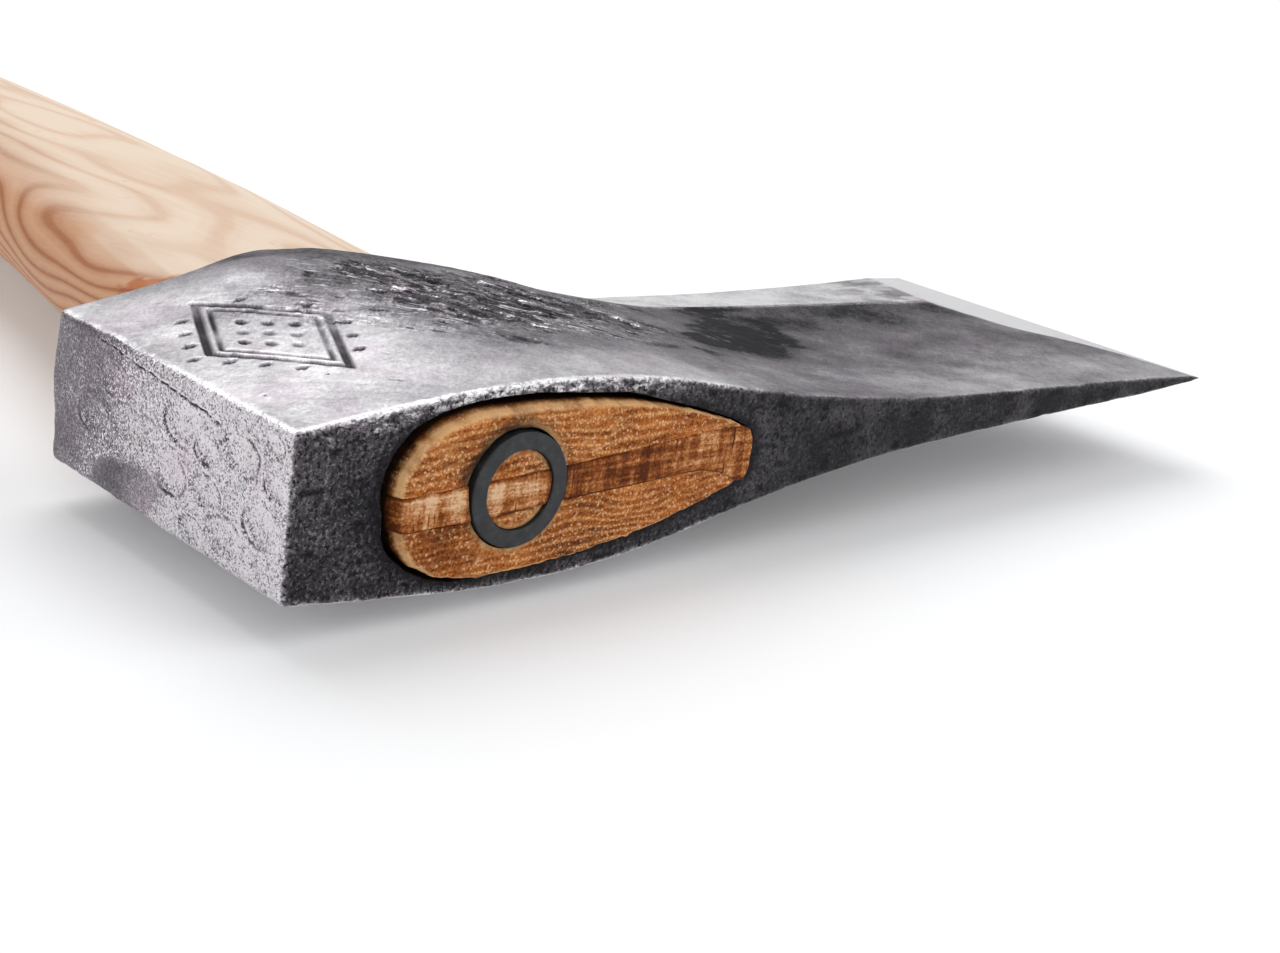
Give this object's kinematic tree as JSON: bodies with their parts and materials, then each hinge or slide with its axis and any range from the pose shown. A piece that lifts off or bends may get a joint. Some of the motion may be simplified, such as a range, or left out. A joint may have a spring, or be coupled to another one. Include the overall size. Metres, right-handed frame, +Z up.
{
  "type": "axe",
  "caption": "Forged steel axe head with flat poll, tapered eye and double-bevelled bearded blade, on a curved wooden handle held by a wooden kerf wedge and a round steel ring wedge.",
  "frame": {"origin": "centre of the flat poll face", "axes": "+X from the poll to the cutting edge, +Y from the crown (open end of the eye) down the handle to the grip, +Z up out of the upper cheek; the axe lies on its cheek"},
  "size_m": [0.2265, 0.6011, 0.0378],
  "materials": {
    "forged_steel": "hand-forged, dark scale with worn bright areas",
    "handle_wood": "oiled ash or hickory",
    "wedge_wood": "sawn hardwood wedge, oiled end",
    "ring_steel": "dark oxidised"
  },
  "bodies": {
    "root": {"axe_head": "forged_steel", "handle": "handle_wood", "eye_wedge": "wedge_wood", "ring_wedge": "ring_steel"}
  },
  "joints": []
}
